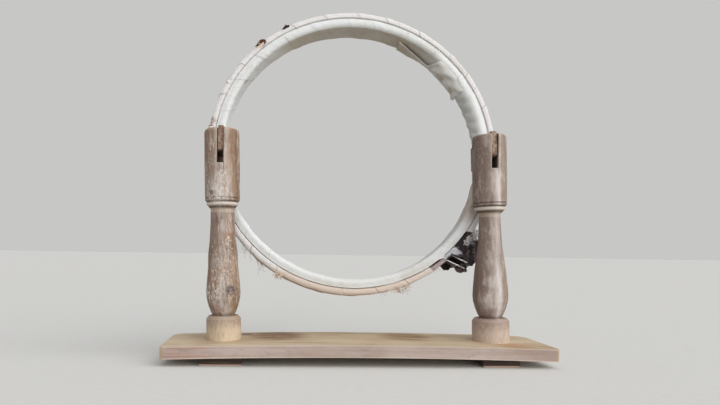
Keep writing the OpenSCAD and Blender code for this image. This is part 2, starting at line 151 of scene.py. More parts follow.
# %% The material helper
def hue(red, green, blue):
    """A colour in steps of 0 to 255, as the linear value that Blender's sockets want."""
    parts = [c / 255 for c in (red, green, blue)]
    linear = [c / 12.92 if c <= 0.04045 else ((c + 0.055) / 1.055) ** 2.4 for c in parts]
    return (*linear, 1.0)


class Finish:
    """One material under way, with a method for each kind of node that it uses."""

    def __init__(self, name, roughness=0.6, metallic=0.0, specular=0.5):
        self.material = bpy.data.materials.new(name)
        self.material.use_nodes = True
        self.tree = self.material.node_tree
        self.shader = self.tree.nodes["Principled BSDF"]
        self.shader.inputs["Roughness"].default_value = roughness
        self.shader.inputs["Metallic"].default_value = metallic
        self.shader.inputs["Specular IOR Level"].default_value = specular
        self.place = self.node("ShaderNodeTexCoord").outputs["Object"]

    def node(self, kind, inputs=None, **settings):
        made = self.tree.nodes.new(kind)
        for name, value in settings.items():
            setattr(made, name, value)
        for name, value in (inputs or {}).items():
            if isinstance(value, bpy.types.NodeSocket):
                self.tree.links.new(value, made.inputs[name])
            else:
                made.inputs[name].default_value = value
        return made

    def maths(self, operation, a, b=0.0, c=0.0):
        return self.node("ShaderNodeMath", {0: a, 1: b, 2: c}, operation=operation).outputs[0]

    def plus(self, a, b):
        return self.maths("ADD", a, b)

    def minus(self, a, b):
        return self.maths("SUBTRACT", a, b)

    def times(self, a, b):
        return self.maths("MULTIPLY", a, b)

    def size(self, a):
        return self.maths("ABSOLUTE", a)

    def gap(self, a, b):
        """How far apart two values are."""
        return self.size(self.minus(a, b))

    def shift(self, at, location=(0, 0, 0), rotation=(0, 0, 0), scale=(1, 1, 1), kind="POINT"):
        inputs = {"Vector": at, "Location": location, "Rotation": rotation, "Scale": scale}
        return self.node("ShaderNodeMapping", inputs, vector_type=kind).outputs[0]

    def parts(self, at):
        return self.node("ShaderNodeSeparateXYZ", {0: at}).outputs

    def flat(self):
        """The place on the flat cloth, in metres."""
        return self.node("ShaderNodeUVMap", uv_map="flat").outputs[0]

    def ring_parts(self):
        """The place on the hoop: right, down and back from its middle."""
        middle, turned = hoop_place.translation, hoop_place.to_euler()
        return self.parts(self.shift(self.place, location=middle, rotation=turned, kind="TEXTURE"))

    def noise(self, at, scale, stretch=(1, 1, 1), detail=4.0, rough=0.55, offset=0.0):
        placed = self.shift(at, location=(offset, offset, offset), scale=stretch)
        inputs = {"Vector": placed, "Scale": scale, "Detail": detail, "Roughness": rough}
        return self.node("ShaderNodeTexNoise", inputs).outputs["Fac"]

    def speckle(self, *settings, **more):
        """Noise over the object's own place."""
        return self.noise(self.place, *settings, **more)

    def fade(self, value, low, high, to_low=0.0, to_high=1.0):
        inputs = {"Value": value, "From Min": low, "From Max": high,
                  "To Min": to_low, "To Max": to_high}
        return self.node("ShaderNodeMapRange", inputs, interpolation_type="SMOOTHSTEP").outputs[0]

    def ramp(self, value, stops):
        ramp = self.node("ShaderNodeValToRGB", {"Fac": value})
        points = ramp.color_ramp.elements
        while len(points) < len(stops):
            points.new(0.5)
        for point, (position, colour) in zip(points, stops):
            point.position = position
            point.color = colour
        return ramp.outputs["Color"]

    def mix(self, share, a, b, kind="MIX"):
        made = self.node("ShaderNodeMix", data_type="RGBA", blend_type=kind)
        for index, value in ((0, share), (6, a), (7, b)):
            if isinstance(value, bpy.types.NodeSocket):
                self.tree.links.new(value, made.inputs[index])
            else:
                made.inputs[index].default_value = value
        return made.outputs[2]

    def cover(self, tone, value, low, high, colour, share=1.0):
        """Lay a colour over the tone as a value goes from low to high, up to a share."""
        return self.mix(self.fade(value, low, high, 0.0, share), tone, colour)

    def vectors(self, operation, a, b=(0, 0, 0)):
        inputs = {0: a, 1: b}
        return self.node("ShaderNodeVectorMath", inputs, operation=operation).outputs["Value"]

    def near(self, point, radius):
        """1 at a point and 0 beyond the radius, for a knot or a stain."""
        return self.fade(self.vectors("DISTANCE", self.place, point), radius, radius * 0.3)

    def spot(self, point, radius, value, *limits):
        """The same with a ragged outline, which a noise value gives."""
        return self.times(self.near(point, radius), self.fade(value, *limits))

    def colour(self, value):
        self.tree.links.new(value, self.shader.inputs["Base Color"])

    def rough(self, value):
        self.tree.links.new(value, self.shader.inputs["Roughness"])

    def bump(self, height, depth, strength=1.0, under=None):
        inputs = {"Height": height, "Distance": depth, "Strength": strength}
        if under is not None:
            inputs["Normal"] = under
        normal = self.node("ShaderNodeBump", inputs).outputs[0]
        self.tree.links.new(normal, self.shader.inputs["Normal"])
        return normal


def dress(names, material):
    """Give one finish to several pieces."""
    for name in names:
        mesh = bpy.data.objects[name].data
        mesh.materials.clear()
        mesh.materials.append(material)
    print(material.name, "on", ", ".join(names))


# %% [markdown]
# ## Floor and sky
# The floor is pale and plain for the eye. For light that bounces it is darker, so that the
# underside of the hoop falls into shade, as it does over a surface that soaks light up. The
# sky behind gets the colour of the lit floor, for the camera and for reflections only, so the
# horizon melts away while the object keeps its shadow.

# %% Floor
SEEN_FLOOR = hue(230, 230, 228)
BOUNCE_FLOOR = hue(174, 170, 162)


def seen_rays(tree):
    """1 for what the camera, a reflection or a look through glass sees, and 0 for bounced light."""
    path = tree.nodes.new("ShaderNodeLightPath")
    total = path.outputs["Is Camera Ray"]
    for name in ("Is Glossy Ray", "Is Transmission Ray"):
        larger = tree.nodes.new("ShaderNodeMath")
        larger.operation = "MAXIMUM"
        tree.links.new(total, larger.inputs[0])
        tree.links.new(path.outputs[name], larger.inputs[1])
        total = larger.outputs[0]
    return total


bpy.ops.object.select_all(action="DESELECT")
bpy.ops.mesh.primitive_plane_add(size=30, location=(0, 0, 0))
floor = bpy.context.object
floor.name = "floor"
finish = Finish("pale floor", roughness=0.9, specular=0.1)
weave = finish.speckle(900, stretch=(0.15, 1, 1), detail=2)
seen = finish.cover(hue(227, 227, 225), weave, 0.3, 0.7, hue(233, 233, 231))
finish.colour(finish.mix(seen_rays(finish.tree), BOUNCE_FLOOR, seen))
floor.data.materials.append(finish.material)

world = bpy.data.worlds.new("pale sky")
bpy.context.scene.world = world
world.use_nodes = True
tree = world.node_tree
fill = tree.nodes["Background"]
fill.inputs["Color"].default_value = (1.0, 1.0, 1.0, 1.0)
fill.inputs["Strength"].default_value = SKY_STRENGTH
backdrop = tree.nodes.new("ShaderNodeBackground")
backdrop.inputs["Color"].default_value = [c * floor_light for c in SEEN_FLOOR[:3]] + [1.0]
either = tree.nodes.new("ShaderNodeMixShader")
tree.links.new(seen_rays(tree), either.inputs[0])
tree.links.new(fill.outputs[0], either.inputs[1])
tree.links.new(backdrop.outputs[0], either.inputs[2])
tree.links.new(either.outputs[0], tree.nodes["World Output"].inputs["Surface"])
print("floor and sky are in place")

# %% [markdown]
# ## Turned posts
# The posts are old beech or maple that lost most of its stain. Across each post the colour runs in
# bands, reddish brown at the left, mauve grey down the middle and rusty at the right. The bands are
# partly the wood's own colour and partly painted light: painted shade on the left side, and a
# painted highlight in the pale stripe right of the middle, brightest on the right post. The finish
# works in each post's own coordinates, across and up, so it follows the lean. Long thin noise is
# the grain, short thin lines are the marks of the turning tool, painted shade darkens the cut
# beside each bead, and the wide bead is pale with wear and a painted highlight. The saw left pale
# edges along the slot, and its inside is darkened with painted shade.

# %% Post finish: the wear
def wear(finish, local, tone, mottle, seed):
    """Streaks, dark and pale patches, amber varnish, flakes and pits over a post's bands."""
    noises = {}
    for name, scale, stretch, detail, rough, shift in (
        ("streaks", 420, 0.07, 6, 0.7, 0), ("dark", 190, 0.4, 7, 0.75, 1),
        ("worn", 150, 0.3, 7, 0.75, 3), ("amber", 170, 0.35, 6, 0.75, 7),
        ("flakes", 700, 0.6, 5, 0.7, 5), ("pits", 560, 0.6, 4, 0.65, 9),
        ("where", 60, 0.5, 3, 0.55, 6),
    ):
        noises[name] = finish.noise(local, scale, (1, 1, stretch), detail, rough, seed + shift)
    for name, low, high, colour, share in (
        ("streaks", 0.42, 0.66, hue(112, 86, 72), 0.6 * mottle),
        ("dark", 0.52, 0.64, hue(104, 80, 68), 0.55 * mottle),
        ("worn", 0.5, 0.62, hue(210, 201, 193), 0.3 + 0.35 * mottle),
        ("amber", 0.54, 0.66, hue(156, 112, 76), 0.6 * mottle),
    ):
        tone = finish.cover(tone, noises[name], low, high, colour, share)
    flaked = finish.times(finish.fade(noises["flakes"], 0.54, 0.62, 0.0, 0.85 * mottle),
                          finish.fade(noises["where"], 0.42, 0.6))
    tone = finish.mix(flaked, tone, hue(224, 212, 196))
    return noises, finish.cover(tone, noises["pits"], 0.62, 0.70, hue(84, 62, 52), 0.6 * mottle)


# %% Post finish: foot, beads and rim
FOOT_RIM = 0.0208
BEAD = HEAD_FOOT - 0.0018
COLLAR = HEAD_FOOT - 0.0072
CUTS = ((HEAD_FOOT + 0.0027, 0.0007), (HEAD_FOOT + 0.0002, 0.0009),
        (HEAD_FOOT - 0.0044, 0.0013), (FOOT_RIM, 0.0009))


def foot_and_beads(finish, local, up, tone, foot_tone, noises, mottle, seed):
    """The pale foot, the beads and the cuts beside them, and the top rim. The wide bead is pale
    with wear and a painted highlight, and the cuts are darkened with painted shade.
    """
    soiled = finish.noise(local, 300, (1, 1, 0.3), 6, 0.75, seed + 8)
    grime = finish.fade(finish.plus(up, finish.times(soiled, 0.016)), 0.014, 0.026)
    foot = finish.mix(finish.times(grime, 0.6), foot_tone, hue(136, 114, 104))
    foot = finish.cover(foot, soiled, 0.5, 0.7, hue(150, 124, 104), 0.5)
    foot = finish.cover(foot, noises["flakes"], 0.56, 0.66, hue(226, 214, 198), 0.6)
    tone = finish.cover(tone, up, FOOT_RIM + 0.0007, FOOT_RIM - 0.0018, foot, 0.9)

    # Wear and a painted highlight: the wide bead is pale.
    tone = finish.cover(tone, finish.gap(up, BEAD), 0.0024, 0.0012, hue(230, 219, 208), 0.75)
    tone = finish.cover(tone, finish.gap(up, COLLAR), 0.0024, 0.0012, hue(210, 195, 176),
                        0.35 + 0.2 * mottle)
    # Painted shade: the cuts beside the beads and at the foot's rim are darkened.
    for height, thick in CUTS:
        tone = finish.cover(tone, finish.gap(up, height), thick, thick * 0.3, hue(70, 54, 46), 0.65)
    rim = finish.fade(up, POST_HEIGHT - 0.0022, POST_HEIGHT - 0.0006, 0.0, 0.5)
    return finish.mix(finish.times(rim, finish.fade(noises["worn"], 0.35, 0.5)), tone,
                      hue(204, 188, 170))


# %% Post finish: the sawn slot
SLOT_HALF = 0.0031
SLOT_FOOT = 0.158


def sawn_slot(finish, side, tone):
    """Pale edges along the slot, painted shade inside it, and the line that the saw left on one
    side.
    """
    room_x, room_y, room_z = finish.parts(finish.place)
    beside = finish.minus(room_x, pivots[side].x)
    edge = finish.fade(finish.size(beside), SLOT_HALF + 0.0005, SLOT_HALF - 0.0003, 0.0, 0.7)
    edge = finish.times(edge, finish.fade(room_z, SLOT_FOOT + 0.003, SLOT_FOOT + 0.006))
    tone = finish.mix(edge, tone, hue(208, 190, 168))
    # Painted shade: the inside of the slot is darkened almost to black.
    inner = finish.times(finish.fade(finish.size(beside), SLOT_HALF + 0.0001, SLOT_HALF - 0.0002),
                         finish.fade(finish.gap(room_y, POST_Y), 0.0128, 0.0108, 0.0, 0.85))
    inner = finish.times(inner, finish.fade(room_z, SLOT_FOOT, SLOT_FOOT + 0.003))
    tone = finish.mix(inner, tone, hue(62, 48, 42))
    cut = finish.fade(finish.gap(beside, SLOT_HALF), 0.0004, 0.0002, 0.0, 0.8)
    cut = finish.times(cut, finish.fade(room_z, SLOT_FOOT - 0.002, SLOT_FOOT))
    return finish.mix(cut, tone, hue(56, 42, 36))


# %% Post finish: all of it
NECK = 0.088
BAND_WIDTH = 0.030


def post_finish(side, bands, foot_tone, neck_tone, mottle, knots, chips, rubbed, seed):
    finish = Finish(side + " post wood", roughness=0.62, specular=0.3)
    base = (FEET[side], POST_Y, BOARD_TOP)
    turned = (0, leans[side], 0)
    local = finish.shift(finish.place, location=base, rotation=turned, kind="TEXTURE")
    across, _, up = finish.parts(local)

    wander = finish.noise(local, 70, (1, 1, 0.3), 5, 0.65, seed)
    drift = finish.times(finish.minus(wander, 0.5), 0.006 + 0.012 * mottle)
    wide = finish.plus(across, drift)
    # The bands across the post are the wood's own colour with painted shade on the left and a
    # painted highlight in the pale stripe.
    tone = finish.ramp(finish.maths("MULTIPLY_ADD", wide, 1 / BAND_WIDTH, 0.5), bands)
    tone = finish.cover(tone, finish.gap(up, NECK), 0.030, 0.014, neck_tone, 0.5)

    noises, tone = wear(finish, local, tone, mottle, seed)
    tone = foot_and_beads(finish, local, up, tone, foot_tone, noises, mottle, seed)
    tone = sawn_slot(finish, side, tone)

    # Pale rubbed spots. On the right post they lie along the painted highlight streak, so there
    # they are wear and painted highlight.
    for point, radius in rubbed:
        share = finish.spot(point, radius, noises["worn"], 0.35, 0.6, 0.1, 0.65)
        tone = finish.mix(share, tone, hue(222, 214, 209))
    for point, radius in chips:
        chip = finish.spot(point, radius, noises["flakes"], 0.48, 0.60)
        tone = finish.mix(chip, tone, hue(230, 224, 216))
    for point, radius in knots:
        ragged = finish.speckle(900, detail=3, offset=seed)
        tone = finish.mix(finish.spot(point, radius, ragged, 0.3, 0.55), tone, hue(70, 54, 62))
        heart = finish.times(finish.near(point, radius * 0.45), 0.6)
        tone = finish.mix(heart, tone, hue(150, 134, 134))

    finish.colour(tone)
    finish.rough(finish.fade(noises["streaks"], 0.3, 0.7, 0.42, 0.7))
    lathe = finish.noise(local, 1500, stretch=(0.05, 0.05, 1), detail=2, offset=seed)
    soft = finish.bump(noises["streaks"], 0.0005, 0.8)
    finish.bump(lathe, 0.00016, 0.5, under=soft)
    return finish.material


# %% Dress the posts
left_bands = [
    (0.0, hue(152, 125, 108)), (0.25, hue(164, 140, 126)), (0.48, hue(194, 183, 176)),
    (0.68, hue(186, 170, 158)), (0.85, hue(158, 131, 107)), (1.0, hue(132, 105, 82)),
]
# The pale stop at 0.58 is a painted highlight, the window's reflection down the right post.
right_bands = [
    (0.0, hue(126, 108, 100)), (0.36, hue(150, 131, 123)), (0.48, hue(186, 173, 168)),
    (0.58, hue(226, 218, 215)), (0.70, hue(158, 141, 130)), (0.85, hue(150, 132, 116)),
    (1.0, hue(140, 122, 104)),
]
left_wood = post_finish(
    "left", left_bands, foot_tone=hue(214, 195, 168), neck_tone=hue(134, 109, 94), mottle=1.0,
    knots=[((-0.1053, -0.0248, 0.0591), 0.0062), ((-0.1222, -0.0241, 0.1387), 0.0032)],
    chips=[((-0.1053, -0.0232, 0.1683), 0.0036), ((-0.1140, -0.0264, 0.1545), 0.0050),
           ((-0.1190, -0.0258, 0.1370), 0.0130), ((-0.1215, -0.0220, 0.0560), 0.0120)],
    rubbed=[((-0.1170, -0.0262, 0.1420), 0.0170)], seed=0.0,
)
right_wood = post_finish(
    "right", right_bands, foot_tone=hue(206, 187, 173), neck_tone=hue(138, 122, 112), mottle=0.35,
    knots=[((0.1010, -0.0235, 0.0640), 0.0026)],
    chips=[], seed=4.3,
    rubbed=[((0.1120, -0.0262, 0.1470), 0.0100), ((0.1120, -0.0262, 0.1560), 0.0080),
            ((0.1110, -0.0250, 0.0530), 0.0120), ((0.1110, -0.0250, 0.0680), 0.0080)],
)
dress(["left_post"], left_wood)
dress(["right_post"], right_wood)

# %% [markdown]
# ## Plank and cleats
# The plank kept its varnish on top, yellowed to olive tan, and lost it along the front edge, which
# is bare and pinkish. The edge is found by its place, since its front face is one flat plane. Grain
# runs along the plank, so the noise is stretched along X. The cleats below are set back under the
# plank's overhang: their dark colour is painted shade, and the pale strip along the bottom, where
# they touch the table, is painted light that reaches under the plank.

# %% Plank finish: the varnished top
BOARD_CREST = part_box("base_board")[1].z
BOARD_THICK = 0.010
BOARD_BOW, BOARD_LONG = 0.0024, 0.318
BOARD_CURVE = 4 * BOARD_BOW / BOARD_LONG ** 2
BOARD_FRONT = POST_Y - 0.035


def varnished_top(finish, grain, cloud):
    top = finish.ramp(finish.fade(cloud, 0.3, 0.7), [
        (0.0, hue(184, 161, 129)), (0.5, hue(204, 183, 153)), (1.0, hue(219, 201, 173)),
    ])
    top = finish.cover(top, grain, 0.45, 0.7, hue(158, 130, 98), 0.5)
    smear = finish.speckle(90, (0.22, 1, 1), 6, 0.7, 5)
    for point, radius, share, stain in (
        ((0.128, -0.034, 0.0155), 0.020, 0.5, hue(186, 128, 84)),
        ((-0.068, 0.004, 0.0175), 0.036, 1.0, hue(132, 102, 76)),
        ((-0.094, 0.012, 0.0175), 0.009, 1.0, hue(104, 76, 56)),
        ((0.046, 0.000, 0.0175), 0.030, 1.0, hue(150, 120, 86)),
        ((-0.125, -0.030, 0.0175), 0.020, 0.4, hue(160, 128, 98)),
    ):
        patch = finish.spot(point, radius, smear, 0.32, 0.56)
        top = finish.mix(finish.times(patch, share), top, stain)
    return top


# %% Plank finish: the bare edge
def bare_edge(finish, cloud, fine):
    edge = finish.ramp(finish.fade(cloud, 0.35, 0.65), [
        (0.0, hue(172, 151, 141)), (0.5, hue(186, 167, 158)), (1.0, hue(196, 180, 172)),
    ])
    edge = finish.cover(edge, fine, 0.46, 0.7, hue(158, 128, 110), 0.5)
    red = finish.times(finish.near((-0.140, BOARD_FRONT, 0.012), 0.030), 0.45)
    edge = finish.mix(finish.times(red, finish.fade(fine, 0.35, 0.6)), edge, hue(160, 112, 90))
    grey = finish.speckle(240, (0.4, 1, 1), 6, 0.75, 7)
    return finish.cover(edge, grey, 0.5, 0.68, hue(150, 138, 134), 0.5)


# %% Dress the plank
finish = Finish("plank wood", roughness=0.6, specular=0.3)
across, deep, up = finish.parts(finish.place)
grain = finish.speckle(330, (0.03, 1, 1), 7, 0.65, 1)
cloud = finish.speckle(26, (0.5, 1, 1), 4, offset=3)
fine = finish.speckle(600, (0.02, 1, 1), 6, 0.7, 6)
top, edge = varnished_top(finish, grain, cloud), bare_edge(finish, cloud, fine)
tone = finish.cover(top, deep, BOARD_FRONT + 0.0004, BOARD_FRONT + 0.0001, edge)

bow = finish.times(finish.times(across, across), BOARD_CURVE)
ragged = finish.times(finish.minus(fine, 0.5), 0.0022)
level = finish.plus(finish.plus(up, bow), ragged)
front = finish.fade(deep, BOARD_FRONT + 0.0016, BOARD_FRONT + 0.0002)
for height in (BOARD_CREST - 0.0003, BOARD_CREST - BOARD_THICK + 0.0003):
    line = finish.fade(finish.gap(level, height), 0.0009, 0.0002, 0.0, 0.6)
    tone = finish.mix(finish.times(line, front), tone, hue(220, 204, 188))
dirt = finish.speckle(700, detail=4, offset=10)
tone = finish.cover(tone, dirt, 0.68, 0.78, hue(88, 68, 54), 0.7)
finish.colour(tone)
finish.rough(finish.fade(grain, 0.3, 0.7, 0.5, 0.75))
finish.bump(grain, 0.0005, 0.6)
dress(["base_board"], finish.material)


# %% Dress the cleats
def plain_wood(name, rough, specular, scale, stretch, dark, middle, pale, middle_at=0.5):
    """Wood that shows its grain and little else."""
    finish = Finish(name, roughness=rough, specular=specular)
    grain = finish.speckle(scale, stretch, 6, 0.65)
    tones = [(0.0, hue(*dark)), (middle_at, hue(*middle)), (1.0, hue(*pale))]
    finish.bump(grain, 0.0004, 0.6)
    return finish, grain, finish.ramp(finish.fade(grain, 0.3, 0.7), tones)


# Painted shade: the cleats' dark tones stand for the shade under the plank's overhang.
finish, grain, tone = plain_wood("cleat wood", 0.65, 0.3, 420, (0.05, 1, 1),
                                 (42, 30, 27), (60, 45, 39), (86, 67, 57), 0.6)
_, _, up = finish.parts(finish.place)
# Painted light: the lowest strip of each cleat is pale, lit below the plank's shadow.
lit_lower_strip = finish.plus(up, finish.times(finish.minus(grain, 0.5), 0.0016))
finish.colour(finish.cover(tone, lit_lower_strip, 0.0017, 0.0010, hue(192, 166, 150), 0.85))
dress(["left_foot_cleat", "right_foot_cleat"], finish.material)

# %% [markdown]
# ## Tongues and bare ring wood
# The tongues are oiled dark by years of swinging. The rings are steam-bent strips, seen only where
# the tape stops short: under the tongues and at the two ends beside the clamp. There the wood is
# darkened nearly to black with painted shade, the deep shade round the clamp. A blue-grey patch on
# it is a painted highlight for a lit metal face, and a pinkish grey one further down is rubbed
# pale.

# %% Tongue and ring finishes
finish, _, tone = plain_wood("tongue wood", 0.55, 0.35, 380, (1, 0.06, 1),
                             (100, 78, 66), (142, 115, 98), (176, 152, 134), 0.55)
finish.colour(tone)
dress(["left_tongue", "right_tongue"], finish.material)

finish, _, tone = plain_wood("bare ring wood", 0.65, 0.3, 260, (1, 0.3, 1),
                             (116, 86, 58), (150, 118, 86), (176, 146, 112))
# Painted shade: round 42 degrees the ring wood is darkened nearly to black.
grime = finish.near(on_ring(42, 0.127, 0), 0.040)
tone = finish.mix(finish.times(grime, 0.95), tone, hue(40, 34, 33))
# A painted highlight and a rubbed patch: the blue-grey patch at 44 degrees stands for a lit metal
# face, and the one at 52.5 degrees is rubbed pale.
for degrees, reach, colour in (
    (52.5, 0.0130, hue(176, 162, 164)), (44.0, 0.0125, hue(182, 184, 190)),
):
    rubbed = finish.near(on_ring(degrees, 0.1262, -0.0090), reach)
    tone = finish.cover(tone, rubbed, 0.1, 0.6, colour, 0.9)
finish.colour(tone)
dress(["inner_ring", "outer_ring"], finish.material)

# %% [markdown]
# ## Iron and wire
# The clamp is rusty iron whose edges are rubbed bright. Noise sets where rust sits on the dark
# skin, and the same noise makes it rougher and raises it a little. Each lug shows one thin bright
# line in front, where its upper arris is rubbed. The line is found by its height along the
# screw, so it stays on the lug's edge. Pins, screws and rivets are duller steel with brown spots.

# %% Metal finishes
SCREW_AXIS = Vector((0.4226, 0.1105, 0.8996))
LUG_OUTSIDE = 0.134
ARRIS = 0.0009


def iron_finish(name, skin, rust, bright, share, rough, front=None, arris=None):
    """Front is how far forward a strip's face lies. There it is rubbed bright above its arris,
    a height along the screw."""
    finish = Finish(name, roughness=rough, metallic=0.55, specular=0.4)
    spots = finish.speckle(420, detail=7, rough=0.7)
    tone = finish.cover(skin, spots, 0.42, 0.62, rust)
    rubbed = finish.speckle(230, detail=5, rough=0.65, offset=3.0)
    tone = finish.cover(tone, rubbed, 0.6, 0.75, bright, share)
    if front is not None:
        _, _, back = finish.ring_parts()
        along = finish.vectors("DOT_PRODUCT", finish.place, SCREW_AXIS)
        above = finish.fade(along, arris - 0.0001, arris + 0.0002)
        face = finish.times(finish.fade(back, front + 0.0004, front + 0.0001), above)
        face = finish.times(face, finish.fade(rubbed, 0.38, 0.46, 0.25, 1.0))
        tone = finish.mix(face, tone, bright)
    finish.colour(tone)
    finish.rough(finish.fade(spots, 0.35, 0.65, rough - 0.15, rough + 0.2))
    finish.bump(spots, 0.0003, 0.8)
    return finish.material


# %% Dress the metal
iron_grey, steel_grey = hue(150, 146, 146), hue(196, 194, 190)
old_iron = iron_finish("old iron", hue(52, 47, 50), hue(72, 60, 60), iron_grey, 0.3, 0.5)
screw_iron = iron_finish("screw iron", hue(90, 78, 82), hue(98, 80, 80), iron_grey, 0.3, 0.5)
nail_iron = iron_finish("nail iron", hue(70, 62, 58), hue(110, 74, 54), iron_grey, 0.4, 0.55)
wire_steel = iron_finish("wire steel", hue(128, 126, 124), hue(104, 82, 66), steel_grey, 0.6, 0.4)
dress(["wing_nut"], old_iron)
dress(["clamp_screw"], screw_iron)
dress([side + nails for side in ("left", "right") for nails in ("_cleat_nails", "_tongue_nails")],
      nail_iron)
dress([side + piece for side in ("left", "right") for piece in ("_pivot_pin", "_post_screw")]
      + ["lug_rivets", "clamp_washer"], wire_steel)

for lug in ("upper_clamp_lug", "lower_clamp_lug"):
    corners = [vertex.co for vertex in bpy.data.objects[lug].data.vertices]
    on_hoop = [hoop_place.inverted() @ corner for corner in corners]
    lug_front = min(corner.z for corner in on_hoop)
    lug_top = max(corner.dot(SCREW_AXIS) for corner, there in zip(corners, on_hoop)
                  if there.xy.length > LUG_OUTSIDE)
    print(lug, "top", round(lug_top * 1000, 2), "mm, front", round(lug_front * 1000, 2), "mm")
    dress([lug], iron_finish(lug + " iron", hue(50, 46, 46), hue(72, 56, 50), hue(222, 218, 216),
                             0.3, 0.5, lug_front, lug_top - ARRIS))

# %% [markdown]
# ## Cotton tape: the finish
# Both rings are bound with strips torn from old sheeting, so that the work isn't marked by the
# wood. The finish follows the strip itself through its UV map, which is laid out in metres: the
# threads of a plain weave run along and across, the torn edge is dirty on some turns and clean on
# others, painted shade darkens the lines where turns lap, and soft stains come from the noise.
# Painted shade also darkens the inside face of the hoop's upper half. The outer binding has
# yellowed to cream, and to peach near the table, and the inner one stays cool.

# %% Cloth finish
THREAD = 0.00042


def cloth_finish(name, pale, low_tone, stain, edge, width, edge_share, spots, seed,
                 edge_least=0.06, inside_shade=0.8):
    """Low_tone is the colour near the table. Edge is the colour on the torn edges, whose share
    differs from turn to turn: dirt on the torn edge together with painted shade in the lines where
    turns lap, and on the loose cloth a painted highlight, a bright rim. The last argument is the
    share of painted shade on the shaded inside of the hoop's upper half."""
    finish = Finish(name, roughness=0.88, specular=0.15)
    finish.shader.inputs["Sheen Weight"].default_value = 0.1
    flat = finish.flat()
    along, side, _ = finish.parts(flat)
    _, _, up = finish.parts(finish.place)

    patches = finish.speckle(34, detail=5, rough=0.6, offset=seed)
    low = finish.plus(finish.fade(up, 0.100, 0.058), finish.minus(patches, 0.5))
    tone = finish.cover(pale, low, 0.25, 0.95, low_tone)
    tone = finish.cover(tone, patches, 0.52, 0.72, stain, 0.55)
    small = finish.speckle(260, detail=6, rough=0.75, offset=seed + 2)
    tone = finish.cover(tone, small, 0.56, 0.74, stain, 0.45)

    ragged = finish.noise(flat, 260, detail=4, offset=seed)
    rim = finish.plus(side, finish.times(finish.minus(ragged, 0.5), 0.0016))
    turns = finish.speckle(70, detail=3, offset=seed + 6)
    some_turns = finish.fade(turns, 0.48, 0.62, edge_least, edge_share)
    # Dirt and painted shade: some turns' edges get the edge colour, dirt on the torn edge and shade
    # in the lap lines; on the loose cloth it is a painted highlight.
    for clean, torn in ((0.0012, 0.0), (width - 0.0010, width)):
        dirt = finish.times(finish.fade(rim, clean, torn), some_turns)
        tone = finish.mix(dirt, tone, edge)
    # Painted shade: the inside face of the hoop's upper half is darkened, patchy with noise.
    ring_x, ring_y, _ = finish.ring_parts()
    flat_place = finish.node("ShaderNodeCombineXYZ", {0: ring_x, 1: ring_y}).outputs[0]
    span = finish.vectors("LENGTH", flat_place)
    inner_face = INNER_RING["middle"] - INNER_RING["half"] - 0.0002
    inside = finish.times(finish.fade(span, inner_face, inner_face - 0.0005),
                          finish.fade(ring_y, -0.080, -0.106, 0.0, inside_shade))
    cloudy = finish.fade(patches, 0.35, 0.6, 0.55, 1.0)
    tone = finish.mix(finish.times(inside, cloudy), tone, hue(210, 198, 180))
    for place, radius, colour in spots:
        spread = finish.spot(place, radius, small, 0.34, 0.5)
        tone = finish.mix(spread, tone, colour)

    warp = finish.maths("SINE", finish.times(side, 2 * math.pi / THREAD))
    weft = finish.maths("SINE", finish.times(along, 2 * math.pi / (1.1 * THREAD)))
    threads = finish.times(warp, weft)
    tone = finish.mix(finish.fade(threads, -1.0, 1.0, 0.10, 0.0), tone, stain)
    finish.colour(tone)
    creases = finish.noise(flat, 150, stretch=(0.25, 1.6, 1), detail=5, rough=0.6, offset=seed + 4)
    soft = finish.bump(creases, 0.0014, 0.6)
    finish.bump(threads, 0.00008, 0.8, under=soft)
    return finish.material


# %% Three cloths
OUTER_TAPE = 0.041
INNER_TAPE = 0.034
FLAP_WIDTH = 0.0255
warm_cloth = cloth_finish(
    "cream tape", hue(246, 244, 244), hue(236, 219, 206), hue(224, 213, 207), hue(120, 86, 70),
    OUTER_TAPE, 0.85, seed=0.0, edge_least=0.3,
    spots=[(on_ring(229.5, 0.1274, -0.0085), 0.0065, hue(112, 78, 62)),
           (on_ring(240.3, 0.1276, -0.0080), 0.0042, hue(70, 52, 50)),
           (on_ring(191.0, 0.1272, -0.0080), 0.0060, hue(150, 112, 96)),
           (on_ring(39.5, 0.1262, -0.0040), 0.0110, hue(188, 180, 160))],
)
cool_cloth = cloth_finish(
    "white tape", hue(243, 246, 247), hue(241, 243, 242), hue(220, 217, 208), hue(160, 150, 138),
    INNER_TAPE, 0.4, seed=5.0,
    spots=[(on_ring(213, 0.1140, -0.006), 0.004, hue(190, 184, 176)),
           (on_ring(18, 0.1150, -0.004), 0.042, hue(224, 208, 196))],
)
# The loose cloth's edge colour is a painted highlight, a bright rim on its torn edges, and its two
# spots are painted shade in its creases.
loose_cloth = cloth_finish(
    "loose cloth", hue(246, 247, 245), hue(246, 247, 245), hue(226, 219, 206), hue(255, 254, 250),
    FLAP_WIDTH, 1.0, seed=8.0, edge_least=1.0, inside_shade=0.9,
    spots=[(on_ring(318, 0.1130, 0.002), 0.008, hue(206, 194, 176)),
           (on_ring(326, 0.1130, 0.004), 0.007, hue(206, 194, 176))],
)
print("three cloths ready")


# %% [markdown]
# ## Cotton tape: the winding
# A real binding is one long flat strip carried round and round the ring, each turn lapping the
# last. It is made the same way here. A grid is added at the strip's true flat size, so its UV
# map is the cloth's own thread plan. Then each vertex is walked round the ring's section: how
# far along the strip it lies says where on the section it is, and its place across the strip
# says how far round the hoop. The trailing edge is lifted over the turn before it, and a slow
# wander makes some turns lap more than others, as they do when wound by hand.

# %% The ring's section
CORNER = 0.0009
WRAPPED_CORNER = CORNER + 0.0004
BETWEEN_REACH = 0.00086
SEAM_FILL = 0.0005


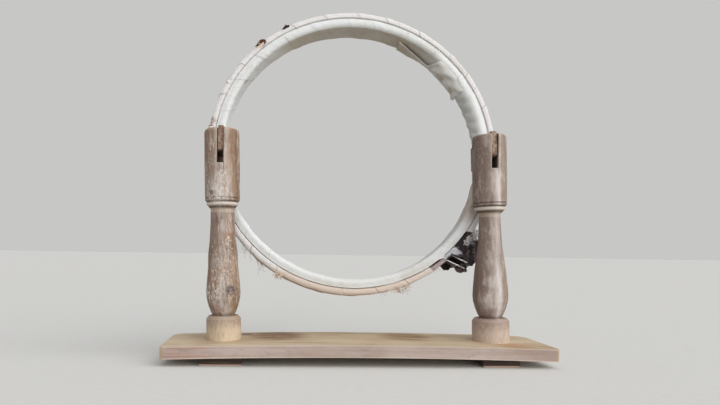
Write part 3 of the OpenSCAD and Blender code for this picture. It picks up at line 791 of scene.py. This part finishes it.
def section_point(share, half, lift, between_side, puff=0.0, slack=0.0):
    """Walk once round the band's section, from the back of the outside face. Gives the place
    as (axial, radial). Puff swells the front edge and slack the inside face."""
    broad = 2 * (RING_HALF_WIDTH - CORNER)
    narrow = 2 * (half - CORNER)
    arc = math.pi / 2 * WRAPPED_CORNER
    walk = (share % 1.0) * (2 * broad + 2 * narrow + 4 * arc)
    a, b = broad / 2, narrow / 2
    sides = [(broad, (a, b), (-a, b)), (narrow, (-a, b), (-a, -b)),
             (broad, (-a, -b), (a, -b)), (narrow, (a, -b), (a, b))]
    for number, (length, start, end) in enumerate(sides):
        facing = 90 * (number + 1)
        if walk <= length:
            t = walk / length
            core = (start[0] + (end[0] - start[0]) * t, start[1] + (end[1] - start[1]) * t)
            break
        walk -= length
        if walk <= arc:
            core = end
            facing += 90 * walk / arc
            break
        walk -= arc
    angle = math.radians(facing)
    forward = max(0.0, -math.cos(angle))
    between = max(0.0, math.sin(angle) * between_side)
    reach = CORNER + lift
    reach += puff * forward * (1 - (core[1] / max(half - CORNER, 1e-6)) ** 2 * 0.8)
    reach += slack * math.sin(math.pi * min(max((share % 1.0 - 0.40) / 0.5, 0.0), 1.0)) ** 1.5
    reach += (BETWEEN_REACH - 0.75 * lift) * between ** 2 + 2 * SEAM_FILL * between * forward
    return core[0] + math.cos(angle) * reach, core[1] + math.sin(angle) * reach


# %% A flat strip of cloth
CLOTH = 0.0003


def flat_strip(name, length, width, along, across):
    """The cut cloth, flat, with a UV map in metres."""
    bpy.ops.object.select_all(action="DESELECT")
    bpy.ops.mesh.primitive_grid_add(x_subdivisions=along, y_subdivisions=across, size=1.0)
    strip = bpy.context.object
    strip.name = name
    strip.data.name = name
    strip.scale = (length, width, 1.0)
    bpy.ops.object.transform_apply(location=False, rotation=False, scale=True)
    uv = strip.data.uv_layers[0]
    uv.name = "flat"
    for corner in uv.data:
        corner.uv = (corner.uv[0] * length, corner.uv[1] * width)
    return strip


def points(strip, length, width):
    """Each vertex of a flat strip, with its share of the length and of the width."""
    for vertex in strip.data.vertices:
        yield vertex, vertex.co.x / length + 0.5, vertex.co.y / width + 0.5


def thicken(strip, smooth_below):
    """Give the strip the cloth's thickness and soft shading."""
    bpy.ops.object.select_all(action="DESELECT")
    strip.select_set(True)
    bpy.context.view_layer.objects.active = strip
    bpy.ops.object.modifier_add(type="SOLIDIFY")
    solid = strip.modifiers[-1]
    solid.thickness = CLOTH
    solid.offset = 1.0
    bpy.ops.object.modifier_apply(modifier=solid.name)
    bpy.ops.object.shade_smooth_by_angle(angle=math.radians(smooth_below))


# %% Wind one tape
SLOW_TURNS = 0.6
TAPE_LIFT = 0.00032
LAP_LIFT = 0.00030
WANDER = 0.22


def ease(value, low, high):
    share = min(max((value - low) / (high - low), 0.0), 1.0)
    return share * share * (3 - 2 * share)


def bump_at(value, middle, spread):
    return math.exp(-((value - middle) / spread) ** 2)


def wave(*at):
    """Smooth noise between about -1 and 1."""
    return noise.noise(Vector(at))


def wind_tape(name, band, start, end, turns, width, lap, cloth, seed, loose=None):
    def advance(turn):
        """How far the tape has moved on. It starts and ends straight round the ring."""
        begun, left = math.exp(-turn / SLOW_TURNS), math.exp((turn - turns) / SLOW_TURNS)
        return turn - SLOW_TURNS * (1 - begun) - SLOW_TURNS * left

    pitch = (end - start) / (advance(turns) + 1 + lap)
    perimeter = 4 * RING_HALF_WIDTH + 4 * band["half"]
    length = turns * math.hypot(perimeter, math.radians(pitch) * band["middle"])
    strip = flat_strip(name, length, width, turns * 36, 14)
    half_turn = pitch * (1 + lap) / 2
    meets = (lap - 1) / (1 + lap)
    for vertex, u, v in points(strip, length, width):
        turn = u * turns
        side = 2 * v - 1
        rumple = wave(turn * 2.7 + seed, side * 1.1, seed)
        fine = wave(turn * 17.0, side * 2.6 + seed, 7.1)
        calm = min(turn, turns - turn, 1.0)
        wander = WANDER * wave(turn * 0.9, seed, 2.0) * calm
        edge = side + 0.07 * wave(turn * 6.0, seed, side) * abs(side)
        over = min(max((meets + 0.12 - side) / 0.2, 0.0), 1.0)
        lift = TAPE_LIFT + 0.00017 * rumple + 0.00007 * fine
        lift += LAP_LIFT * over * over * (3 - 2 * over)
        degrees = start + half_turn + pitch * (advance(turn) + wander) + half_turn * edge
        degrees = min(max(degrees, start), end)
        puff = band["puff"]
        if degrees % 360 < 180:
            puff *= 1 - max(bump_at(degrees % 180, 20, 14), bump_at(degrees % 180, 160, 14))
        slack = 0.0
        if loose:
            slack = ease(degrees, loose[0], loose[0] + 9)
            slack *= 1 - ease(degrees, loose[1] - 4, loose[1])
            fold = math.sin(math.pi * (degrees / 5.1 + 2.6 * (turn % 1.0))) ** 2
            crease = wave(degrees * 0.4, turn % 1.0 * 6, 2.0)
            slack *= 0.0020 + 0.0026 * fold + 0.0006 * crease
        axial, radial = section_point(turn, band["half"], lift, band["between"], puff, slack)
        vertex.co = on_ring(degrees, band["middle"] + radial, axial)
    thicken(strip, 45)
    strip.data.materials.append(cloth)
    faces = len(strip.data.polygons)
    print(name, "winds", turns, "turns,", round(length, 2), "m of tape,", faces, "faces")
    return strip


# %% [markdown]
# ### Three windings
# The outer ring has one binding of 25 turns that stops at the clamp. The inner ring has two,
# because the tongues break it. The upper one came loose near the right post, so its turns stand
# away from the ring there in slack creases.

# %% Wind the rings
outer_winding = wind_tape("outer_winding", OUTER_RING, 55.1, 397.8, 25, OUTER_TAPE, 0.24,
                          warm_cloth, 2.0)
upper_winding = wind_tape("upper_winding", INNER_RING, 184.9, 355.1, 12, INNER_TAPE, 0.28,
                          cool_cloth, 11.0, loose=(322.0, 355.1))
lower_winding = wind_tape("lower_winding", INNER_RING, 6.9, 173.1, 12, INNER_TAPE, 0.28,
                          cool_cloth, 23.0)

# %% [markdown]
# ## Frayed threads
# Torn cotton sheds threads wherever a turn ends. One thread is modelled as a thin curved tube,
# and copies of it, each with its own mesh, are turned and stretched into tufts. Some are made
# wide, for a strand that hasn't come apart. They all join the outer binding, because they are
# part of its cloth, and the big tuft at the clamp keeps clear of the nut's way.

# %% One thread
THREAD_LONG = 0.010
THREAD_STEPS = 9


def one_thread():
    """A limp thread 10 mm long that leaves along +Z and curls a little."""
    bpy.ops.object.select_all(action="DESELECT")
    bpy.ops.mesh.primitive_circle_add(vertices=5, radius=0.00017, fill_type="NGON",
                                      location=(0, 0, 0))
    thread = bpy.context.object
    bpy.ops.object.mode_set(mode="EDIT")
    bpy.ops.mesh.select_all(action="SELECT")
    step = THREAD_LONG / THREAD_STEPS
    for i in range(THREAD_STEPS):
        bpy.ops.mesh.extrude_region_move(TRANSFORM_OT_translate={
            "value": (0.00042 * math.sin(i * 0.9), 0.00030 * math.cos(i * 0.7), step)})
        bpy.ops.transform.resize(value=(0.93, 0.93, 1.0))
    bpy.ops.object.mode_set(mode="OBJECT")
    bpy.ops.object.shade_smooth()
    return thread


def tuft(thread, degrees, radius, back, lead, count, length, spread, wide, seed):
    """Copies of the thread that leave the hoop at one place, roughly along lead."""
    chance = random.Random(seed)
    made = []
    for _ in range(count):
        copy = thread.copy()
        copy.data = thread.data.copy()
        bpy.context.collection.objects.link(copy)
        where = degrees + chance.uniform(-1, 1) * spread
        root = on_ring(where, radius, back + chance.uniform(-1, 1) * 0.003)
        aim = Vector(lead) + Vector([chance.uniform(-0.6, 0.6) for _ in range(3)])
        turn = aim.to_track_quat("Z", "Y").to_matrix().to_4x4()
        turn = turn @ Matrix.Rotation(chance.uniform(0, 6.28), 4, "Z")
        size = length / THREAD_LONG * chance.uniform(0.5, 1.15)
        copy.data.transform(Matrix.Translation(root) @ turn @ Matrix.Diagonal((wide, 1, size, 1)))
        made.append(copy)
    return made


# %% Tufts
thread = one_thread()
threads = []
for degrees, radius, back, lead, count, length, spread, wide, seed in (
    (35.6, 0.1275, -0.006, (0.9, -0.4, -0.2), 90, 0.0085, 2.2, 2.2, 1),
    (38.4, 0.1270, -0.0086, (0.5, -0.9, -0.1), 70, 0.0045, 1.8, 2.6, 2),
    (120.5, 0.1272, -0.0085, (-0.2, -0.5, -0.9), 30, 0.0060, 0.9, 2.4, 3),
    (71.0, 0.1272, -0.008, (0.8, -0.3, -0.4), 26, 0.008, 3.0, 3.4, 4),
    (76.0, 0.1270, -0.007, (-0.8, -0.3, -0.7), 2, 0.017, 0.6, 1.4, 5),
    (202.0, 0.1270, -0.006, (-0.9, -0.3, 0.2), 6, 0.004, 1.2, 1.4, 6),
    (229.5, 0.1270, -0.008, (-0.7, -0.5, 0.5), 16, 0.0035, 1.6, 3.0, 10),
    (55.6, 0.1262, -0.009, (0.5, -0.5, -0.6), 10, 0.004, 0.6, 2.0, 7),
    (134.0, 0.1282, 0.002, (0.55, -0.1, -0.80), 14, 0.0120, 6.0, 1.4, 8),
    (190.0, 0.1270, -0.008, (-0.6, -0.6, -0.3), 8, 0.004, 1.0, 2.0, 9),
):
    threads += tuft(thread, degrees, radius, back, lead, count, length, spread, wide, seed)
bpy.data.objects.remove(thread)

finish = Finish("loose cotton", roughness=0.9, specular=0.1)
speck = finish.speckle(300, detail=4)
dirty = finish.near(on_ring(38, 0.131, -0.005), 0.026)
tone = finish.cover(hue(240, 228, 214), speck, 0.4, 0.65, hue(206, 180, 156))
sooty = finish.cover(hue(244, 242, 242), speck, 0.54, 0.6, hue(80, 72, 74))
finish.colour(finish.mix(dirty, tone, sooty))
for copy in threads:
    copy.data.materials.append(finish.material)


def sew(pieces, winding):
    """Join loose pieces of cloth to the winding that they belong to."""
    bpy.ops.object.select_all(action="DESELECT")
    for piece in pieces + [winding]:
        piece.select_set(True)
    bpy.context.view_layer.objects.active = winding
    bpy.ops.object.join()
    print(winding.name, "has", len(winding.data.polygons), "faces now")


sew(threads, outer_winding)

# %% [markdown]
# ## Torn scraps and the dark end at the clamp
# At the upper left four corners of the tape were torn loose and are brown along their edges. A
# scrap is a small grid laid over the ring's outer front corner with the section helper, and lifted
# at its free side. At the clamp the tape's end lies as a grey scrap in front of the lugs, above
# their line, darkened with painted shade along its outer side and its first half. Behind the nut
# hangs a rag, a near-black sheet of painted shade for the deep shade between the lugs. Both are
# grids laid out in ring coordinates, with a ragged outer edge from noise, because they have to
# leave the nut's way free.

# %% Scraps
def scrap_finish(name, heart, rim, long, rim_side, rim_end):
    """A scrap that is dark along its outer side and at its upper end."""
    finish = Finish(name, roughness=0.9, specular=0.1)
    across, side, _ = finish.parts(finish.flat())
    grime = finish.speckle(900, detail=5, rough=0.7)
    ragged = finish.times(finish.minus(grime, 0.5), 0.0022)
    outer = finish.fade(finish.plus(side, ragged), rim_side + 0.0004, rim_side - 0.0004)
    upper = finish.plus(across, ragged)
    upper = finish.fade(upper, long - rim_end - 0.0002, long - rim_end + 0.0002)
    finish.colour(finish.mix(finish.maths("MAXIMUM", outer, upper), heart, rim))
    finish.bump(grime, 0.0004, 0.7)
    return finish.material


def scrap(degrees, long, wide, shares, reach, cloth, seed):
    """A torn corner from one share of the section to another, its outer side lifted by reach."""
    piece = flat_strip("scrap", long, wide, 14, 12)
    for vertex, u, v in points(piece, long, wide):
        u -= 0.5
        ragged = wave(u * 3 + seed, v * 2.5, seed)
        lift = 0.0012 + 0.0004 * wave(u * 4, v * 4, seed)
        lift += reach * (1 - v) ** 2 * (0.4 + 0.6 * ease(u, -0.5, 0.4))
        share = shares[0] + (shares[1] - shares[0]) * v + 0.018 * ragged * (1 - v)
        axial, radial = section_point(share, OUTER_RING["half"], lift, -1)
        angle = degrees + math.degrees(long / 0.127) * (u + 0.3 * ragged * (0.3 + abs(u)))
        vertex.co = on_ring(angle, OUTER_RING["middle"] + radial, axial)
    thicken(piece, 50)
    piece.data.materials.append(cloth)
    return piece


singed = scrap_finish("singed cloth", hue(236, 220, 204), hue(88, 58, 46),
                      0.0095, 0.0050, 0.0020)
pleated = scrap_finish("pleated cloth", hue(243, 238, 235), hue(150, 112, 92),
                       0.0040, 0.0006, 0.0006)
sooty_cloth = scrap_finish("sooty cloth", hue(66, 50, 45), hue(46, 36, 34),
                           0.0045, 0.0010, 0.0010)
scraps = [
    scrap(229.0, 0.0095, 0.0070, (0.335, 0.458), 0.0032, singed, 1.0),
    scrap(241.6, 0.0056, 0.0048, (0.325, 0.420), 0.0034, sooty_cloth, 4.0),
    scrap(188.0, 0.0050, 0.0056, (0.340, 0.450), 0.0010, pleated, 7.0),
    scrap(208.6, 0.0040, 0.0056, (0.345, 0.458), 0.0005, pleated, 9.0),
]

# %% The grey scrap over the clamp
GREY_LONG = 0.0262
GREY_WIDE = 0.0115
GREY_ROOT = 0.1224
GREY_START, GREY_SPAN = 37.9, 11.9
SCREW_TURN = 65
LUG_LINE = 0.0466
grey_scrap = flat_strip("grey_scrap", GREY_LONG, GREY_WIDE, 34, 12)
for vertex, u, v in points(grey_scrap, GREY_LONG, GREY_WIDE):
    degrees = GREY_START + GREY_SPAN * u
    above_lug = -LUG_LINE / math.cos(math.radians(degrees + SCREW_TURN)) - GREY_ROOT
    reach = min(GREY_WIDE * (0.45 + 0.55 * ease(u, 0.0, 0.45)), max(above_lug, 0.0042))
    reach *= 1 + 0.28 * wave(u * 9.0, 2.0, 8.0)
    billow = 0.0005 * wave(u * 8.0, v * 3.0, 6.0)
    vertex.co = on_ring(degrees, GREY_ROOT + reach * v, -0.0118 + billow + 0.0010 * v)
thicken(grey_scrap, 50)
finish = Finish("grey cloth", roughness=0.9, specular=0.1)
across, side, _ = finish.parts(finish.flat())
grime = finish.speckle(420, detail=6, rough=0.7)
ragged = finish.times(finish.minus(grime, 0.5), 0.006)
fibres = finish.speckle(520, stretch=(0.25, 1, 1), detail=4, rough=0.6)
tone = finish.cover(hue(178, 180, 190), fibres, 0.42, 0.62, hue(216, 218, 224))
# Painted shade: the scrap is darkened along its outer side and over its first half, from 38 to
# about 43 degrees.
tone = finish.cover(tone, finish.plus(side, ragged), 0.0062, 0.0092, hue(66, 58, 62))
tone = finish.cover(tone, finish.minus(across, ragged), 0.0138, 0.0116, hue(54, 46, 52))
finish.colour(tone)
finish.bump(grime, 0.0005, 0.7)
grey_scrap.data.materials.append(finish.material)

# %% The rag of painted shade behind the nut
RAG_LONG = 0.042
RAG_WIDE = 0.0210
RAG_ROOT, RAG_BACK = 0.1276, 0.0080
RAG_START, RAG_SPAN = 33.0, 18.0
rag = flat_strip("rag", RAG_LONG, RAG_WIDE, 30, 14)
for vertex, u, v in points(rag, RAG_LONG, RAG_WIDE):
    torn = 0.45 + 0.55 * math.sin(math.pi * min(0.16 + 0.80 * u, 1.0)) ** 0.7
    torn += 0.18 * wave(u * 6.0, 1.0, 3.0)
    torn += 0.12 * wave(u * 17.0, 5.0, 3.0)
    torn *= 1 - 0.45 * ease(u, 0.62, 0.82)
    sag = 0.0007 * wave(u * 5.0, v * 3.0, 9.0)
    vertex.co = on_ring(RAG_START + RAG_SPAN * u, RAG_ROOT + RAG_WIDE * v * torn, RAG_BACK + sag)
thicken(rag, 50)
# Painted shade: the rag's near-black colour stands for the deep shade between the lugs and behind
# the nut.
finish = Finish("rag cloth", roughness=0.9, specular=0.1)
fold = finish.speckle(240, detail=6, rough=0.7)
tone = finish.ramp(finish.fade(fold, 0.3, 0.7), [
    (0.0, hue(38, 32, 34)), (0.6, hue(64, 56, 58)), (1.0, hue(120, 110, 110)),
])
finish.colour(tone)
finish.bump(fold, 0.0006, 0.8)
rag.data.materials.append(finish.material)
print("scraps and rag:", len(scraps) + 2, "pieces of cloth")

# %% Sew them to the binding
sew(scraps + [grey_scrap, rag], outer_winding)

# %% [markdown]
# ### Each winding takes its twin's place
# The plain CAD winding is hidden, and the new one rides with its ring when the hoop moves.

# %% Ride and replace
for winding, node, body in (
    (outer_winding, "outer_ring_tape", "outer_hoop"),
    (upper_winding, "inner_ring_upper_tape", "hoop"),
    (lower_winding, "inner_ring_lower_tape", "hoop"),
):
    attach(winding, body)
    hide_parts(node)
    print(winding.name, "rides on", body, "and replaces", node)

# %% [markdown]
# ## The loose end of the cloth
# At the upper right the inner binding has come undone. Its torn end lies over the back half of
# the inside face and stands away from the ring, so its edge catches light. Beyond a corner the
# cloth still wraps the ring's front, and runs on in soft creases. The sheet is a grid, and each
# of its points blends between those two states by its place along the ring.

# %% Loose end
FLAP_LENGTH = 0.074
FLAP_START = -67.5
FLAP_SPAN = 37.5
FLAP_FACE = 0.1138
WRAP = 0.3
HEM = 2 / 24


def flap_place(u, v):
    """Where the sheet's point lies, u along the ring and v from its front edge to its back."""
    back = 0.0104 + 0.0004 * math.sin(11 * u)
    rumple = 0.0006 * abs(wave(u * 9.0, v * 3.0, 4.0))
    edge_bulge = 0.0008 * bump_at(u, 0.16, 0.10) + 0.0022 * bump_at(u, 0.965, 0.035)

    # The torn part stands away from the ring along its free edge
    front = -0.0048 + 0.0098 * min(u / 0.44, 1.0)
    stand = 0.0022 * math.sin(math.pi * min(u / 0.54, 1.0)) ** 0.8 * (1 - v) ** 1.2
    hem = max(0.0, 1 - v / HEM)
    torn = (front + (back - front) * max(v - HEM, 0.0),
            0.0012 + stand + edge_bulge * v ** 1.4 + rumple - 0.0017 * hem)

    # The rest wraps the front corner loosely
    if v < WRAP:
        turn = math.pi / 2 * v / WRAP
        wrapped = [-0.0112 + 0.0042 * (1 - math.cos(turn)), -0.0032 + 0.0050 * math.sin(turn)]
    else:
        along = (v - WRAP) / (1 - WRAP)
        wrapped = [-0.0070 + (back + 0.0070) * along,
                   0.0018 + 0.0010 * math.sin(math.pi * along) - 0.0006 * along]
    fold = math.sin(math.pi * (4.4 * u + 1.8 * v)) ** 2
    wrapped[1] += 0.0022 * fold * math.sin(math.pi * min(v * 1.15, 1.0))
    wrapped[1] += edge_bulge * v ** 2 + rumple

    share = ease(u, 0.44, 0.56)
    axial = torn[0] + (wrapped[0] - torn[0]) * share
    inwards = torn[1] + (wrapped[1] - torn[1]) * share
    return on_ring(FLAP_START + FLAP_SPAN * u, FLAP_FACE - inwards, axial)


flap = flat_strip("loose_end", FLAP_LENGTH, FLAP_WIDTH, 110, 24)
for vertex, u, v in points(flap, FLAP_LENGTH, FLAP_WIDTH):
    vertex.co = flap_place(min(max(u, 0.0), 1.0), min(max(v, 0.0), 1.0))
thicken(flap, 50)
flap.data.materials.append(loose_cloth)
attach(flap, "hoop")
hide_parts("loose_cloth_end")
